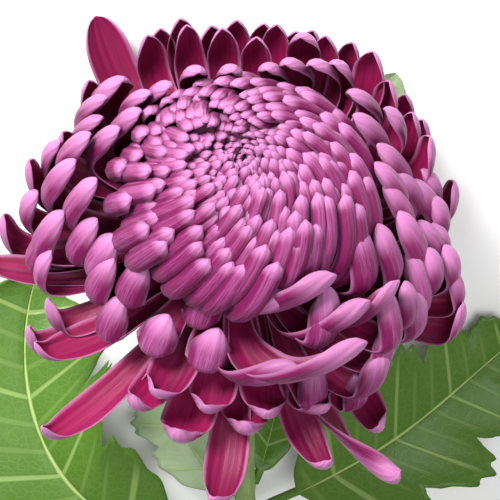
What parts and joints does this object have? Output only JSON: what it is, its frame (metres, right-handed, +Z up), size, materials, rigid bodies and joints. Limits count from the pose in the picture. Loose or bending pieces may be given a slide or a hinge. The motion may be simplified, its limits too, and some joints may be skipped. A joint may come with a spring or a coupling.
{
  "type": "pompon chrysanthemum",
  "caption": "Cut chrysanthemum with one large incurved head of channelled, hooded florets, a leafy stem and lobed leaves, lying on its side",
  "frame": {"origin": "centre of the footprint of the lying flower, on the surface it lies on", "axes": "+Z up from the surface; +Y along the stem, from the head to the cut end; +X across the stem, so that the head faces -Y and a little up"},
  "size_m": [0.173, 0.2481, 0.1001],
  "materials": {
    "inner_florets": "satin, pale lilac pink with fine magenta streaks",
    "involucre": "matte green with thin pale margins",
    "leaf": "satin green above, grey green below",
    "floret_outer": "satin, dark crimson inside with a pale rim, streaked lilac pink outside",
    "receptacle": "matte, fleshy pale green",
    "floret_second": "satin, dark crimson inside, streaked lilac pink outside",
    "stem": "satin green, finely ribbed, pale at the cut",
    "floret_third": "satin, streaked magenta and lilac pink"
  },
  "bodies": {
    "root": {"inner_florets": "inner_florets", "involucre": "involucre", "leaf_front": "leaf", "leaf_left": "leaf", "leaf_low": "leaf", "leaf_pale": "leaf", "leaf_right": "leaf", "leaf_under": "leaf", "outer_floret_01": "floret_outer", "outer_floret_02": "floret_outer", "outer_floret_03": "floret_outer", "outer_floret_04": "floret_outer", "outer_floret_05": "floret_outer", "outer_floret_06": "floret_outer", "outer_floret_07": "floret_outer", "outer_floret_08": "floret_outer", "outer_floret_09": "floret_outer", "outer_floret_10": "floret_outer", "outer_floret_11": "floret_outer", "outer_floret_12": "floret_outer", "outer_floret_13": "floret_outer", "outer_floret_14": "floret_outer", "outer_floret_15": "floret_outer", "outer_floret_16": "floret_outer", "outer_floret_17": "floret_outer", "receptacle": "receptacle", "second_floret_01": "floret_second", "second_floret_02": "floret_second", "second_floret_03": "floret_second", "second_floret_04": "floret_second", "second_floret_05": "floret_second", "second_floret_06": "floret_second", "second_floret_07": "floret_second", "second_floret_08": "floret_second", "second_floret_09": "floret_second", "second_floret_10": "floret_second", "second_floret_11": "floret_second", "second_floret_12": "floret_second", "second_floret_13": "floret_second", "second_floret_14": "floret_second", "second_floret_15": "floret_second", "second_floret_16": "floret_second", "second_floret_17": "floret_second", "stem": "stem", "third_floret_01": "floret_third", "third_floret_02": "floret_third", "third_floret_03": "floret_third", "third_floret_04": "floret_third", "third_floret_05": "floret_third", "third_floret_06": "floret_third", "third_floret_07": "floret_third", "third_floret_08": "floret_third", "third_floret_09": "floret_third", "third_floret_10": "floret_third", "third_floret_11": "floret_third", "third_floret_12": "floret_third", "third_floret_13": "floret_third", "third_floret_14": "floret_third", "third_floret_15": "floret_third", "third_floret_16": "floret_third"}
  },
  "joints": []
}
